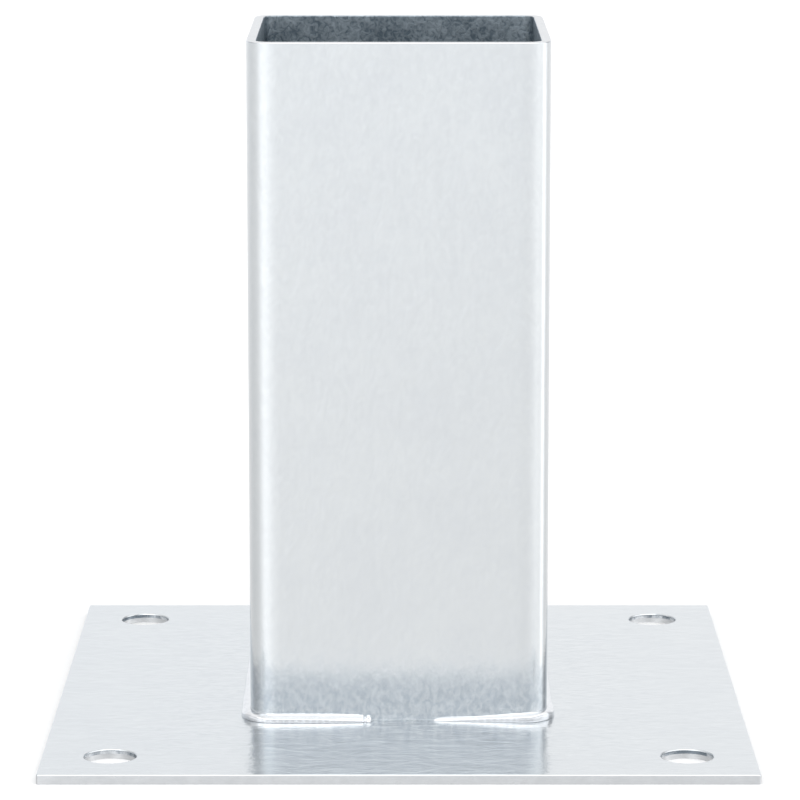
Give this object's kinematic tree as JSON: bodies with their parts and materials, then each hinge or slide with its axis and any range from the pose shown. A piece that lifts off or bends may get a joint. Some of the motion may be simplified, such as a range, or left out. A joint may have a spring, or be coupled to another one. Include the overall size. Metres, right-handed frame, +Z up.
{
  "type": "post base",
  "caption": "Bolt-down post base: an open-topped square steel sleeve welded upright on the middle of a square base plate with a bolt hole in each corner.",
  "frame": {"origin": "the middle of the base plate's underside, on the ground", "axes": "+Z up along the sleeve, +X to the right and -Y to the front, both square to the plate's edges"},
  "size_m": [0.15, 0.15, 0.1493],
  "materials": {
    "zinc_plate": "bright galvanised, faintly mottled",
    "zinc_sleeve": "bright galvanised, darker and duller inside",
    "weld_metal": "glossy weld metal under zinc"
  },
  "bodies": {
    "root": {"base_plate": "zinc_plate", "post_sleeve": "zinc_sleeve", "weld_bead_left": "weld_metal", "weld_bead_right": "weld_metal"}
  },
  "joints": []
}
